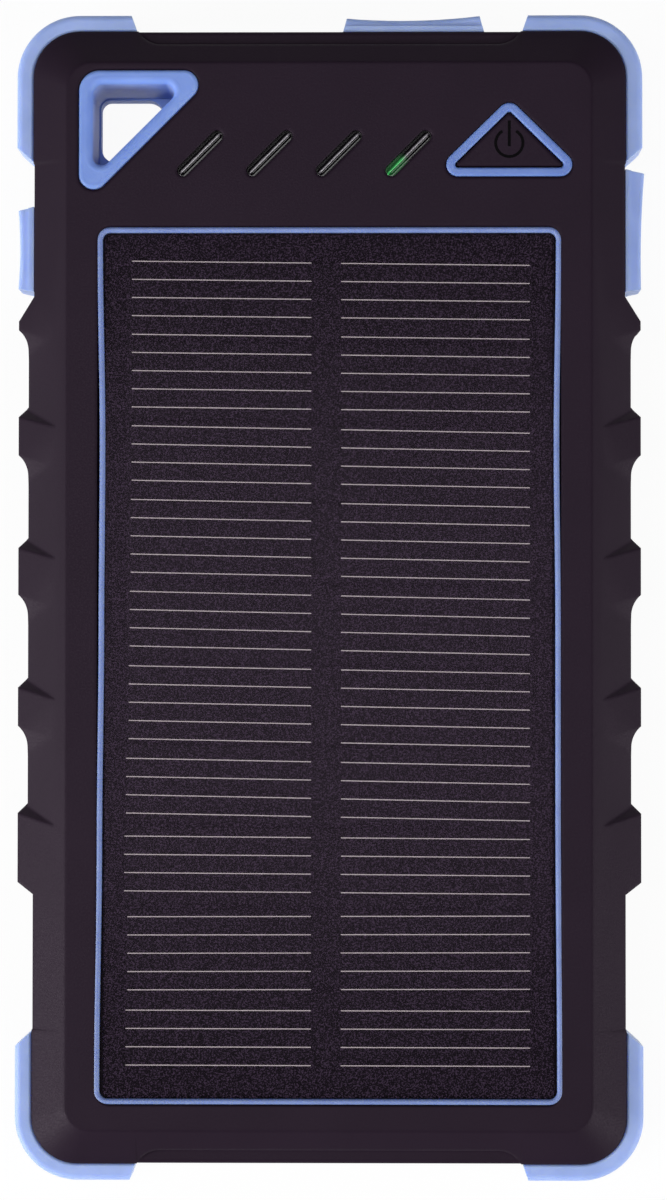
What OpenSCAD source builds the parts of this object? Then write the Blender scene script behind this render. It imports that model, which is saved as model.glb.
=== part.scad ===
// Solar phone charger lying on its back, panel up. +X is the right side, +Y the top edge, +Z the front.
// The origin is the middle of the flat back. All sizes are in millimetres.

/* [Case] */
// Width between the straight sides
case_w = 72; // [70:0.5:76]
// Length between the straight ends
case_l = 137.6; // [135:0.2:142]
// Thickness from the flat back to the flat face
case_h = 14.5; // [14.3:0.1:16]
// Corner radius of the outline
corner_r = 5.5; // [4.5:0.1:7]
// How far the corner pads stand out from the straight sides
pad_out = 0.1; // [0.05:0.05:0.4]
// Width of the bevel round the face and the back, seen from the front
bevel_w = 4.2; // [3.6:0.1:4.8]
// Depth of the bevel round the face
bevel_h = 3; // [2.4:0.1:3.2]
// Height of the straight side below the parting plane
sill_h = 1; // [0.9:0.05:1.3]
// Corner radius of the flat face
face_r = 3; // [1.5:0.1:4]
// Thickness of the side walls
wall = 2.6; // [2.5:0.1:3]
// Thickness of the front wall over the controls
front_t = 1.2; // [1:0.1:1.4]
// Thickness of the floor of the rear case
floor_t = 1.6; // [1.4:0.1:2]
// Room between the board and the front wall, for the switch and the lights
control_room = 1.52; // [1.4:0.02:2]
// Width of the flat ledge in the bevel at each end
ledge_w = 1.7; // [1:0.1:2.2]
// Radius of the curve at the ends of that ledge
ledge_r = 3.1; // [2.4:0.1:4]

/* [Side grips] */
// How far the ribs stand out from the side
rib_out = 2; // [1.6:0.1:2.4]
// How far the groove floors stand out from the side
groove_out = 0.8; // [0.5:0.05:1.1]
// Gap between the grip and the covers above it
grip_gap = 0.6; // [0.4:0.05:2]
// Length of the middle rib
mid_rib_l = 6.95; // [5:0.05:9]
// Length of the grooves beside the middle rib
inner_groove_l = 10.1; // [8:0.1:12]
// Length of the ribs beyond those grooves
rib_l = 5.9; // [4:0.1:8]
// Length of the outer grooves
outer_groove_l = 9.4; // [8:0.1:12]
// Length of the first rib, with its sloping lead
lead_rib_l = 4.6; // [4:0.1:6]
// Length of the last rib, with its steep end
end_rib_l = 10.4; // [5:0.1:12]
// Radius of the hollow below each rib
groove_r = 3.2; // [2.4:0.1:4]
// Where the grooves run out on the bevel, from the edge of the flat face
scoop_in = 1.3; // [0.8:0.1:2]

/* [Bumpers] */
// How far the bumpers stand out from the corner pads
bumper_t = 2.1; // [1.6:0.1:2.6]
// Length of a pad across the end, from the side
pad_arm = 12.7; // [10:0.1:15]
// Gap between a cover and the pad beside it
pad_gap = 0.65; // [0.5:0.05:2]
// Depth of the tongue clamped at the parting plane
tongue_d = 1; // [0.6:0.1:1.1]
// Height of that tongue
tongue_h = 1; // [0.6:0.1:1.4]
// Radius of the outer edges
bumper_edge_r = 0.8; // [0.3:0.1:1.2]
// Radius of the edges next to the case
bumper_root_r = 0.35; // [0.2:0.05:0.5]

/* [Case seal] */
// Distance from the outline to the middle of the seal
seal_in = 1.75; // [1.7:0.01:1.8]
// Width of the seal
seal_w = 0.7; // [0.5:0.05:0.75]
// Height of the seal
seal_h = 1; // [0.8:0.05:1.2]

/* [Lanyard sleeve] */
// Length of the short sides of the triangle
sleeve_leg = 17.15; // [15:0.05:18]
// Thickness of the sleeve's wall
sleeve_wall = 1.7; // [1.5:0.05:1.9]
// Distance from the left edge of the flat face
sleeve_inset_x = 1.4; // [1.2:0.05:2]
// Distance from the upper edge of the flat face
sleeve_inset_y = 0.9; // [0.7:0.05:1.5]
// How far the shoulder inside the case stands out
sleeve_shoulder = 0.6; // [0.3:0.05:0.8]

/* [Solar panel] */
// Width across the trim
trim_w = 56; // [50:0.2:57]
// Length across the trim
trim_l = 106; // [98:0.2:107]
// Distance from the upper edge of the flat face to the trim
trim_from_top = 20; // [19.8:0.1:21]
// Width of the trim
trim_t = 0.7; // [0.5:0.05:1]
// Corner radius of the trim's outside
trim_r = 1.6; // [1.3:0.1:3]
// Thickness of the substrate
solar_board_t = 1; // [0.6:0.05:1.1]
// Thickness of the resin over it
resin_t = 0.55; // [0.4:0.05:0.7]
// Thickness of a cell strip
cell_t = 0.2; // [0.1:0.05:0.3]
// Number of cell strips
cell_count = 10; // [6:1:10]
// Margin between the panel's edge and the ends of the strips
cell_end_margin = 2.7; // [2:0.1:6]
// Margin between the panel's edge and the first and last strip
cell_row_margin = 3.4; // [2.5:0.1:6]
// Gap between two strips
cell_gap = 0.6; // [0.5:0.05:1]

/* [Controls] */
// Height of the triangle of the button ring
ring_h = 9.55; // [8:0.05:10]
// Half the length of its base
ring_half = 9.75; // [8.5:0.05:10]
// Width of the ring
ring_t = 1.1; // [0.8:0.05:1.25]
// Outside corner radius of the ring
ring_r = 1.45; // [1.3:0.05:1.8]
// Distance from the right edge of the flat face to the middle of the ring
ring_from_right = 10; // [9.8:0.1:12]
// Distance from the upper edge of the flat face to the base of the ring
ring_from_top = 13.9; // [12:0.1:14.5]
// Travel of the button
button_travel = 0.3; // [0.2:0.05:0.35]
// Distance from the last light to the tip of the button ring
light_to_ring = 2.45; // [2:0.05:4]
// Distance from the left edge of the flat face to the first light
light_from_left = 16.15; // [15.8:0.05:17]
// Distance from the upper edge of the flat face to the row of lights
light_from_top = 11.05; // [10.5:0.05:12]
// Length of a light slot
slot_l = 7.3; // [6:0.1:7.6]
// Width of a light slot
slot_w = 1.5; // [1.3:0.05:1.7]
// Gap on each side of a light pipe in its slot
pipe_gap = 0.32; // [0.2:0.02:0.38]

/* [Ports] */
// Distance from the top end of the case to the right-hand socket
side_port_from_top = 24.25; // [24:0.05:25]
// Distance from the top end of the case to the micro socket on the left
micro_port_from_top = 26.5; // [26:0.05:27]
// Place of the top socket to the right of the middle
top_port_x = 10.25; // [9.5:0.05:11]
// Length of the right-hand cover
side_cover_l = 15; // [14.8:0.05:15.2]
// Length of the left-hand cover
micro_cover_l = 10.4; // [9.8:0.05:11]
// Length of the top cover
top_cover_l = 17.2; // [16:0.1:18]
// How far the right-hand cover stands out from the side
side_cover_t = 2; // [1.6:0.05:2.4]
// How far the left-hand cover stands out from the side
micro_cover_t = 1.85; // [1.6:0.05:2.4]
// How far the top cover stands out from the end
top_cover_t = 1.6; // [1.4:0.05:2.4]
// Radius of the bead that each cover turns on
bead_r = 0.75; // [0.7:0.01:0.78]
// Running clearance round the bead
bead_gap = 0.03; // [0.02:0.01:0.06]
// Depth of the bead's axis below the side
bead_in = 0.33; // [0.28:0.01:0.36]
// How far a cover's lip reaches in from the side
lip_d = 1.2; // [0.9:0.05:1.4]

/* [Inside] */
// Thickness of the main board
board_t = 0.8; // [0.6:0.05:1]
// Thickness of the foam on each side of the battery
battery_pad_t = 0.54; // [0.3:0.02:1]
// Outside diameter of the bosses for the case screws
boss_d = 5.2; // [4.6:0.1:5.6]
// Diameter of the screw shanks
screw_d = 1.9; // [1.6:0.05:2.1]
// Diameter of the screw heads
screw_head_d = 3.8; // [3.2:0.1:4]

/* [Hidden] */
round_fn = 64;
$fn = round_fn;
eps = 0.01;
hull_fn = 48;
// Steps in a full turn of the covers' bow, which is a short piece of a wide circle
bow_fn = 1600;
// Clearance between fixed pieces that fit into one another
fit_gap = 0.05;
// Clearance round the moving button and round a cover's lip
move_gap = 0.15;
// How far the blue inlays stand above the flat face
inlay_proud = 0.1;
// Straight parts of a slanting sweep are slimmer by this much and lap this far into its corners
slim = 0.004;
lap = 0.05;

// Outline and flat face
face_w = case_w - 2 * bevel_w;
face_l = case_l - 2 * bevel_w;
side_x = case_w / 2;
end_y = case_l / 2;
face_x = face_w / 2;
face_y = face_l / 2;
side_z1 = case_h - bevel_h;
cavity_x = side_x - wall;
cavity_y = end_y - wall;
cavity_r = max(corner_r - wall, 1);
ceiling_z = case_h - front_t;

// Sockets: USB-A and micro-USB receptacle shells of the usual sizes
usb_w = 13.1;
usb_h = 5.7;
usb_l = 14;
usb_t = 0.3;
usb_r = 0.6;
micro_w = 7.6;
micro_h = 2.8;
micro_l = 5.6;
micro_r = 0.8;
socket_in = 0.6;
tongue_in = 1.4;
tongue_t = 1.8;
tongue_w = 11;
tongue_above = 0.35;
micro_tongue_t = 0.6;
micro_tongue_w = 5;
port_gap = 0.15;
port_bridge = 0.35;
side_port_y = end_y - side_port_from_top;
micro_port_y = end_y - micro_port_from_top;

// Heights, from the front wall down: board, sockets, cover hinges and parting plane
board_top = ceiling_z - control_room;
board_z = board_top - board_t;
usb_z0 = board_z - usb_h;
micro_z0 = board_z - micro_h;
bore_r = bead_r + bead_gap;
hinge_z = usb_z0 - port_gap - port_bridge - bore_r;
split_z = hinge_z;
side_z0 = split_z - sill_h;
cover_gap = 0.1;
cover_z0 = hinge_z + bead_in + cover_gap;
cover_top_gap = 0.3;
cover_z1 = side_z1 - cover_top_gap;
cover_base_t = 0.8;
cover_step = 0.5;
cover_edge_r = 0.5;
cover_lean = 0.4;
// Shallow bow in the outer face of each soft cover: radius, and how far its deepest line lies from the middle
side_bow = [130, -3.7];
micro_bow = [56, 0];
top_bow = [80, 1.5];
bead_short = 1;
bead_end_gap = 0.15;
lip_top_gap = 0.45;
lip_low_gap = 0.2;
lip_side_gap = 0.25;
lip_r = 0.5;

// Solar panel
panel_sink = 0.15;
resin_top = case_h - panel_sink;
resin_z = resin_top - resin_t;
recess_z = resin_z - solar_board_t;
trim_y = face_y - trim_from_top - trim_l / 2;
panel_w = trim_w - 2 * trim_t - 2 * fit_gap;
panel_l = trim_l - 2 * trim_t - 2 * fit_gap;
panel_r = max(trim_r - trim_t - fit_gap, 0.3);
cell_pitch = (panel_l - 2 * cell_row_margin) / cell_count;
cell_w = cell_pitch - cell_gap;
cell_l = panel_w - 2 * cell_end_margin;
// Small turns of the strips, as they were laid by hand, in degrees
cell_turns = [-0.6, -0.7, -1.1, -1.1, -1.2, -1.1, -1.1, -0.6, -0.1, -0.2];
lead_slot_w = 8;
lead_slot_l = 2.2;
lead_d = 1;
lead_x = 2.4;
lead_from_trim = 2.9;
lead_y = trim_y + trim_l / 2 - lead_from_trim;

// Lanyard sleeve: right angle at the upper left, points go anticlockwise
sleeve_corner = [-face_x + sleeve_inset_x, face_y - sleeve_inset_y];
sleeve_pts = [sleeve_corner, sleeve_corner - [0, sleeve_leg], sleeve_corner + [sleeve_leg, 0]];
sleeve_radii = [2.6, 1.83, 1.83];
// Corner radii of the hole through it
hole_radii = [1.4, 1.07, 1.07];
// Width of the round-edged band along the outside and its edge radius
sleeve_band = 1;
sleeve_edge_r = 0.45;
// Width of the band along the hole and the radius of its soft edges
hole_band = sleeve_wall - 0.1;
hole_edge_r = hole_band / 2 - 0.05;
// Low rim inside the hole, behind the parting plane, with fuller narrow corners
sleeve_rim = 0.2;
sleeve_rim_h = split_z - 0.8;
rim_radii = [hole_radii[0] - sleeve_rim, 2, 2];

// Pockets behind the front wall and in the rear case, clear of the sleeve's shoulder
pocket_gap = 0.1;
pocket_x = -sleeve_corner.x + sleeve_shoulder + pocket_gap;
pocket_y0 = face_y - trim_from_top + 1;
pocket_y1 = sleeve_corner.y + sleeve_shoulder + pocket_gap;
pocket_r = 1.5;

// Button ring: tip at the top, points go anticlockwise
ring_x = face_x - ring_from_right;
ring_y = face_y - ring_from_top;
ring_pts = [[ring_x, ring_y + ring_h], [ring_x - ring_half, ring_y], [ring_x + ring_half, ring_y]];
ring_edge_r = 0.3;
button_sink = 0.05;
button_flange = ring_t + move_gap + 0.4;
button_flange_t = 0.4;
button_pts = inset(ring_pts, ring_t + move_gap);
button_r = max(ring_r - ring_t - move_gap, 0.25);
button_z0 = ceiling_z - fit_gap - button_flange_t;
switch_x = ring_x;
switch_y = ring_y + ring_h / 3;
switch_w = 5.2;
switch_r = 0.4;
switch_gap = 0.15;
switch_h = button_z0 - button_travel - switch_gap - board_top;
plunger_r = 0.9;
plunger_gap = 0.1;
plunger_rest = 0.05;
plunger_z0 = board_top + button_travel + plunger_rest;

// Lights
light_count = 4;
light_x0 = -face_x + light_from_left;
light_pitch = (ring_x - ring_half - light_to_ring - light_x0) / (light_count - 1);
light_y = face_y - light_from_top;
light_turn = 45;
pipe_w = slot_w - 2 * pipe_gap;
pipe_l = slot_l - 2 * move_gap;
pipe_sink = 0.2;
pipe_flange = 0.4;
pipe_flange_t = 0.6;
led_w = 1.6;
led_l = 3.2;
led_h = 0.6;

// Main board
board_margin = 0.6;
board_x = cavity_x - board_margin;
board_y0 = min(side_port_y - usb_w / 2, micro_port_y - micro_w / 2) - 1.45;
board_y1 = cavity_y - board_margin;
sleeve_room = sleeve_shoulder + 0.7;
sleeve_low_y = sleeve_pts[1].y + sleeve_radii[1] * (sqrt(2) + 1) - sleeve_radii[1] - sleeve_room;
sleeve_line = sleeve_pts[1].y - sleeve_pts[1].x - sleeve_room * sqrt(2);
chip_w = 5;
chip_h = 1;
chip_pos = [2, side_port_y + 4];
coil_w = 7;
coil_h = 3.5;
coil_r = 1.2;
coil_pos = [-8, micro_port_y + 0.8];
post_d = 3.4;
post_spots = [[-18, micro_port_y - 1.3], [14, micro_port_y - 1.3], [ring_x + 4.3, ring_y + ring_h]];

// Battery and its leads
lid_boss_d = boss_d + 1.2;
boss_bite = 1.3;
boss_end_bite = 0.4;
screw_x = pocket_x - lid_boss_d / 2 + boss_bite;
screw_y0 = -pocket_y1 + lid_boss_d / 2 - boss_end_bite;
screw_y1 = board_y0 - 3.6;
screw_ys = [screw_y0, (screw_y0 + screw_y1) / 2, screw_y1];
battery_gap = 0.2;
battery_x = screw_x - lid_boss_d / 2 - battery_gap;
battery_y0 = -pocket_y1 + 1.7;
battery_y1 = board_y0 - 2.1;
battery_t = board_top - floor_t - 2 * battery_pad_t;
battery_z0 = floor_t + battery_pad_t;
battery_r = 2;
pad_margin = 3;
battery_lead_d = 1.2;
battery_lead_z = board_z - 2.5;
battery_lead_y = board_y0 + 1.4;

// Screws
screw_head_z = 0.2;
screw_head_h = 1.2;
screw_cross_l = 2;
screw_cross_w = 0.5;
screw_cross_d = 0.6;
screw_end_z = board_z - 1;
screw_hole_d = screw_d + 2 * fit_gap;
head_gap = 0.2;
head_hole_d = screw_head_d + 2 * head_gap;
screw_tip_gap = 0.4;
head_hole_z = screw_head_z + screw_head_h;

// Bumpers: where their pads end, margin inside the pads, and how much their ends lean as they rise
bumper_x = side_x - pad_arm;
bumper_y = max(side_port_y + side_cover_l / 2, micro_port_y + micro_cover_l / 2) + pad_gap;
ledge_half = bumper_x - 0.1 + ledge_r - sqrt(ledge_r * ledge_r - (ledge_r - ledge_w) * (ledge_r - ledge_w));
bumper_inset = 0.2;
bumper_lean_x = 0.35;
bumper_lean_y = 0.9;

// Side grip, from its sloping top end to its steep lower end
grip_top = min(side_port_y - side_cover_l / 2, micro_port_y - micro_cover_l / 2) - grip_gap;
grip_y = grip_top - lead_rib_l - outer_groove_l - rib_l - inner_groove_l - mid_rib_l / 2;
groove_top_ys = [
    grip_y + mid_rib_l / 2 + inner_groove_l + rib_l + outer_groove_l,
    grip_y + mid_rib_l / 2 + inner_groove_l,
    grip_y - mid_rib_l / 2,
    grip_y - mid_rib_l / 2 - inner_groove_l - rib_l
];
groove_low_ys = [
    grip_y + mid_rib_l / 2 + inner_groove_l + rib_l,
    grip_y + mid_rib_l / 2,
    grip_y - mid_rib_l / 2 - inner_groove_l,
    grip_y - mid_rib_l / 2 - inner_groove_l - rib_l - outer_groove_l
];
grip_low = groove_low_ys[3] - end_rib_l;
grip_lead = 2.9;
grip_end = 1.4;
grip_root = 2;
rib_rise = rib_out - groove_out;
scoop_slant = 1.45;
scoop_fade = 1;
scoop_drop = 0.2;
scoop_foot = 0.5;
scoop_ease = 1.2;
scoop_deep = 1.5;
scoop_wide = 1.4;
scoop_lift = 0.35;
ledge_lift = 0.2;

// Plane geometry of convex outlines with round corners

function unit(v) = v / norm(v);
function half_angle(p, a, b) = acos(unit(a - p) * unit(b - p)) / 2;
function arc_centre(p, a, b, r) = p + unit(unit(a - p) + unit(b - p)) * r / sin(half_angle(p, a, b));
function tangent(p, a, b, r) = p + unit(a - p) * r / tan(half_angle(p, a, b));
function before(pts, i) = pts[(i + len(pts) - 1) % len(pts)];
function after(pts, i) = pts[(i + 1) % len(pts)];
function inset(pts, d) = [for (i = [0:len(pts) - 1]) arc_centre(pts[i], before(pts, i), after(pts, i), d)];
function box_pts(w, l) = [[w / 2, l / 2], [-w / 2, l / 2], [-w / 2, -l / 2], [w / 2, -l / 2]];
function same(r, n) = [for (i = [1:n]) r];
function right_of(d) = [d.y, -d.x];
function turn_of(v) = atan2(v.y, v.x);
// Height of the front bevel and of the rear bevel at a distance x from the middle
function front_z(x) = case_h - (x - face_x) * bevel_h / bevel_w;
function rear_z(x) = (x - face_x) * side_z0 / bevel_w;

// Filled outline through pts with a corner radius for each point
module rounded(pts, radii) {
    polygon([for (i = [0:len(pts) - 1]) each [
        tangent(pts[i], before(pts, i), after(pts, i), radii[i]),
        tangent(pts[i], after(pts, i), before(pts, i), radii[i])
    ]]);
    for (i = [0:len(pts) - 1])
        translate(arc_centre(pts[i], before(pts, i), after(pts, i), radii[i]))
            circle(r = radii[i]);
}

module rounded_box(w, l, r) {
    rounded(box_pts(w, l), same(r, 4));
}

// Sweeps a profile along a closed outline: the profile's x points outwards, its y points up.
// A slimmer second profile may serve for the straight parts, which then lap into the corners.
module sweep(pts, radii, lap = 0) {
    for (i = [0:len(pts) - 1]) {
        start = tangent(pts[i], after(pts, i), before(pts, i), radii[i]);
        finish = tangent(after(pts, i), pts[i], after(pts, i + 1), radii[(i + 1) % len(pts)]);
        corner_sweep(pts[i], before(pts, i), after(pts, i), radii[i])
            children(0);
        edge_sweep(start - lap * unit(finish - start), finish + lap * unit(finish - start))
            children($children - 1);
    }
}

module corner_sweep(p, a, b, r) {
    translate(arc_centre(p, a, b, r))
        rotate(turn_of(right_of(p - a)))
            rotate_extrude(angle = 180 - 2 * half_angle(p, a, b))
                translate([r, 0])
                    children();
}

module edge_sweep(start, finish) {
    translate(finish)
        rotate(turn_of(right_of(finish - start)))
            rotate([90, 0, 0])
                linear_extrude(norm(finish - start))
                    children();
}

module both_sides() {
    for (m = [0, 1])
        mirror([m, 0, 0])
            children();
}

// Section of a bar from z0 to z1 with round edges
module round_bar(half, z0, z1, r) {
    translate([-half, z0 + r])
        square([2 * half, z1 - z0 - 2 * r]);
    translate([-half + r, z0])
        square([2 * half - 2 * r, z1 - z0]);
    for (x = [-half + r, half - r], z = [z0 + r, z1 - r])
        translate([x, z])
            circle(r = r);
}

// A bar with round ends, along x
module stadium(l, w) {
    square([l - w, w], center = true);
    for (s = [-1, 1])
        translate([s * (l - w) / 2, 0])
            circle(d = w);
}

// Outside of the closed case

module bevelled_body(grow) {
    hull() {
        linear_extrude(eps)
            rounded_box(face_w, face_l, face_r, $fn = hull_fn);
        translate([0, 0, side_z0])
            linear_extrude(side_z1 - side_z0)
                rounded_box(case_w + 2 * grow, case_l + 2 * grow, corner_r + grow, $fn = hull_fn);
        translate([0, 0, case_h - eps])
            linear_extrude(eps)
                rounded_box(face_w, face_l, face_r, $fn = hull_fn);
    }
}

module pad_zones() {
    for (x = [-1, 1], y = [-1, 1])
        translate([x * (bumper_x + case_w) / 2, y * (bumper_y + case_l) / 2])
            square([case_w - bumper_x, case_l - bumper_y], center = true);
}

// Bar along the right side, before its grooves are cut
module grip_bar() {
    root_x = side_x - grip_root;
    rib_x = side_x + rib_out;
    intersection() {
        translate([0, grip_top, 0])
            rotate([90, 0, 0])
                linear_extrude(grip_top - grip_low)
                    polygon([
                        [root_x, rear_z(root_x)], [rib_x, rear_z(rib_x)],
                        [rib_x, front_z(rib_x)], [root_x, front_z(root_x)]
                    ]);
        linear_extrude(case_h)
            polygon([
                [root_x, grip_low], [side_x, grip_low], [rib_x, grip_low + grip_end],
                [rib_x, grip_top - grip_lead], [side_x, grip_top], [root_x, grip_top]
            ]);
    }
}

// Length of a hollow from the groove floor to a given rise
function hollow_l(rise) = sqrt(groove_r * groove_r - (groove_r - rise) * (groove_r - rise));

// Cut of one groove through the side: a hollow at its top end and a slanting step at its lower end
module groove_side(top_y, low_y) {
    floor_x = side_x + groove_out;
    hollow_y = top_y - hollow_l(rib_rise / 2);
    far = 2 * groove_r;
    linear_extrude(case_h) {
        translate([floor_x + groove_r, hollow_y])
            circle(r = groove_r);
        polygon([
            [floor_x, hollow_y], [floor_x, low_y + rib_rise / 2],
            [floor_x + far, low_y + rib_rise / 2 - far], [floor_x + far, hollow_y]
        ]);
    }
}

// Cut of the same groove into the front or the rear bevel, where it runs out towards the flat face
module groove_scoop(top_y, low_y, front) {
    in_x = face_x + scoop_in;
    floor_x = side_x + groove_out;
    rib_x = side_x + rib_out;
    in_z = front ? front_z(in_x) : rear_z(in_x);
    rib_z = front ? front_z(rib_x) : rear_z(rib_x);
    floor_z = front ? rib_z - scoop_drop : rib_z + scoop_drop;
    hollow_y = top_y - hollow_l(rib_rise / 2);
    low_end = scoop_end(
        [in_x, low_y - rib_rise / 2 - scoop_slant, in_z],
        [floor_x, low_y + rib_rise / 2 - scoop_foot, floor_z],
        [rib_x, low_y - rib_rise / 2, rib_z]
    );
    top_end = scoop_end(
        [in_x, top_y - scoop_fade, in_z],
        [floor_x, hollow_y - scoop_ease, floor_z],
        [rib_x, hollow_y + hollow_l(rib_rise), rib_z]
    );
    polyhedron(
        points = front ? concat(low_end, top_end) : concat(top_end, low_end),
        faces = [[0, 2, 1], [3, 4, 5], [0, 1, 4, 3], [1, 2, 5, 4], [2, 0, 3, 5]]
    );
}

// Three corners of one end of a scoop, carried on past the outside of the rib
function scoop_end(inner, bottom, rib) = [
    inner,
    inner + scoop_deep * (bottom - inner),
    inner + scoop_wide * (rib - inner) + scoop_lift * (rib - bottom)
];

module ledge_cut() {
    translate([0, 0, side_z1 + ledge_lift])
        linear_extrude(case_h)
            translate([0, end_y - ledge_w + case_l / 2])
                rounded_box(2 * ledge_half, case_l, ledge_r);
}

module case_outside() {
    difference() {
        union() {
            bevelled_body(0);
            intersection() {
                bevelled_body(pad_out);
                linear_extrude(case_h)
                    pad_zones();
            }
            both_sides()
                grip_bar();
        }
        both_sides()
            for (i = [0:len(groove_top_ys) - 1]) {
                groove_side(groove_top_ys[i], groove_low_ys[i]);
                groove_scoop(groove_top_ys[i], groove_low_ys[i], true);
                groove_scoop(groove_top_ys[i], groove_low_ys[i], false);
            }
        for (m = [0, 1])
            mirror([0, m, 0])
                ledge_cut();
    }
}

module half_space(z0, z1) {
    translate([-case_w, -case_l, z0])
        cube([2 * case_w, 2 * case_l, z1 - z0]);
}

// Cuts that the two half cases share

module sleeve_outline(grow) {
    rounded(inset(sleeve_pts, -grow), [for (r = sleeve_radii) r + grow]);
}

// Places a piece made for the middle of the right side on the right, on the left or on the top end
module on_right() {
    translate([side_x, side_port_y, 0])
        children();
}

module on_left() {
    translate([-side_x, micro_port_y, 0])
        rotate(180)
            children();
}

module on_top() {
    translate([top_port_x, end_y, 0])
        rotate(90)
            children();
}

module hinge_bore(length) {
    translate([-bead_in, 0, hinge_z])
        rotate([90, 0, 0])
            cylinder(r = bore_r, h = length - bead_short + 2 * bead_end_gap, center = true);
}

module hinge_bores() {
    on_right() hinge_bore(side_cover_l);
    on_left() hinge_bore(micro_cover_l);
    on_top() hinge_bore(top_cover_l);
}

module seal_path(w_grow) {
    sweep(box_pts(case_w - 2 * seal_in, case_l - 2 * seal_in), same(corner_r - seal_in, 4))
        square([seal_w + 2 * w_grow, seal_h + 2 * w_grow], center = true);
}

module at_screws() {
    for (x = [-screw_x, screw_x], y = screw_ys)
        translate([x, y, 0])
            children();
}

// Case pieces

module front_case() {
    color("#28222b")
    difference() {
        union() {
            difference() {
                intersection() {
                    case_outside();
                    half_space(split_z, case_h + 1);
                }
                linear_extrude(board_top)
                    rounded_box(2 * cavity_x, 2 * cavity_y, cavity_r);
                linear_extrude(ceiling_z)
                    translate([0, (pocket_y0 + pocket_y1) / 2])
                        rounded_box(2 * pocket_x, pocket_y1 - pocket_y0, pocket_r);
            }
            at_screws()
                translate([0, 0, split_z])
                    cylinder(d = boss_d, h = board_top - split_z + eps);
        }
        at_screws()
            translate([0, 0, split_z - 1])
                cylinder(d = screw_hole_d, h = screw_end_z + screw_tip_gap - split_z + 1);
        translate([0, trim_y, recess_z])
            linear_extrude(case_h)
                rounded_box(trim_w + 2 * fit_gap, trim_l + 2 * fit_gap, trim_r + fit_gap);
        translate([0, lead_y, board_top - 1])
            linear_extrude(case_h)
                stadium(lead_slot_w, lead_slot_l);
        linear_extrude(2 * case_h)
            sleeve_outline(fit_gap);
        linear_extrude(2 * case_h)
            rounded(inset(ring_pts, -fit_gap), same(ring_r + fit_gap, 3));
        for (i = [1:light_count])
            at_light(i)
                linear_extrude(2 * case_h)
                    stadium(slot_l, slot_w);
        on_right() port_opening(usb_w, usb_h, usb_z0, usb_r);
        on_top() port_opening(usb_w, usb_h, usb_z0, usb_r);
        on_left() port_opening(micro_w, micro_h, micro_z0, micro_r);
        hinge_bores();
        translate([0, 0, split_z])
            seal_path(fit_gap);
        for (x = [0, 1], y = [0, 1])
            mirror([x, 0, 0])
                mirror([0, y, 0])
                    bumper_corner()
                        bumper_tongue(fit_gap);
    }
}

module port_opening(w, h, z0, r) {
    translate([-wall - 1, 0, z0 + h / 2])
        rotate([90, 0, 90])
            linear_extrude(wall + 2)
                rounded_box(w + 2 * port_gap, h + 2 * port_gap, r + port_gap);
}

module rear_case() {
    color("#28222b")
    difference() {
        union() {
            difference() {
                intersection() {
                    case_outside();
                    half_space(-1, split_z);
                }
                translate([0, 0, floor_t])
                    linear_extrude(case_h)
                        rounded_box(2 * pocket_x, 2 * pocket_y1, pocket_r);
            }
            at_screws()
                translate([0, 0, floor_t - eps])
                    cylinder(d = lid_boss_d, h = split_z - floor_t + eps);
            for (p = post_spots)
                translate([p.x, p.y, floor_t - eps])
                    cylinder(d = post_d, h = board_z - floor_t + eps);
        }
        at_screws() {
            translate([0, 0, -1])
                cylinder(d = head_hole_d, h = head_hole_z + 1);
            cylinder(d = screw_hole_d, h = split_z + 1);
        }
        translate([0, 0, -1])
            linear_extrude(case_h)
                sleeve_outline(fit_gap);
        hinge_bores();
        translate([0, 0, split_z])
            seal_path(fit_gap);
    }
}

module case_seal() {
    color("#4a5a8c")
    translate([0, 0, split_z])
        seal_path(0);
}

// Bumpers: one profile carried round the corner of a pad

module bumper_corner() {
    pad_x = side_x + pad_out;
    pad_y = end_y + pad_out;
    r = corner_r + pad_out;
    corner_sweep([pad_x, pad_y], [pad_x, 0], [0, pad_y], r) children();
    edge_sweep([pad_x, bumper_y], [pad_x, pad_y - r]) children();
    edge_sweep([pad_x - r, pad_y], [bumper_x, pad_y]) children();
}

module bumper_tongue(grow) {
    translate([-tongue_d - grow, split_z - eps])
        square([tongue_d + grow + 1, tongue_h + grow + eps]);
}

module bumper_profile() {
    z0 = side_z0 + bumper_inset;
    z1 = side_z1 - bumper_inset;
    r = bumper_edge_r;
    root_r = bumper_root_r;
    translate([fit_gap + root_r, z0])
        square([bumper_t - r - root_r - fit_gap, z1 - z0]);
    translate([fit_gap, z0 + root_r])
        square([bumper_t - r - fit_gap, z1 - z0 - 2 * root_r]);
    translate([fit_gap, z0 + r])
        square([bumper_t - fit_gap, z1 - z0 - 2 * r]);
    for (z = [z0 + r, z1 - r])
        translate([bumper_t - r, z])
            circle(r = r);
    for (z = [z0 + root_r, z1 - root_r])
        translate([fit_gap + root_r, z])
            circle(r = root_r);
    translate([fit_gap - tongue_d, split_z])
        square([tongue_d + eps, tongue_h]);
}

// Plan of one bumper, with slanting ends
module bumper_plan() {
    pad_x = side_x + pad_out;
    pad_y = end_y + pad_out;
    out = bumper_t + 1;
    x0 = bumper_x + bumper_inset;
    y0 = bumper_y + bumper_inset;
    polygon([
        [0, 0], [x0, pad_y - 2 * tongue_d], [x0, pad_y], [x0 + bumper_lean_x * out, pad_y + out],
        [pad_x + out, pad_y + out],
        [pad_x + out, y0 + bumper_lean_y * out], [pad_x, y0], [pad_x - 2 * tongue_d, y0]
    ]);
}

module bumper() {
    color("#8fa3db")
    intersection() {
        bumper_corner()
            bumper_profile();
        linear_extrude(case_h)
            bumper_plan();
    }
}

module bumper_top_left() {
    mirror([1, 0, 0])
        bumper();
}

module bumper_top_right() {
    bumper();
}

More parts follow.
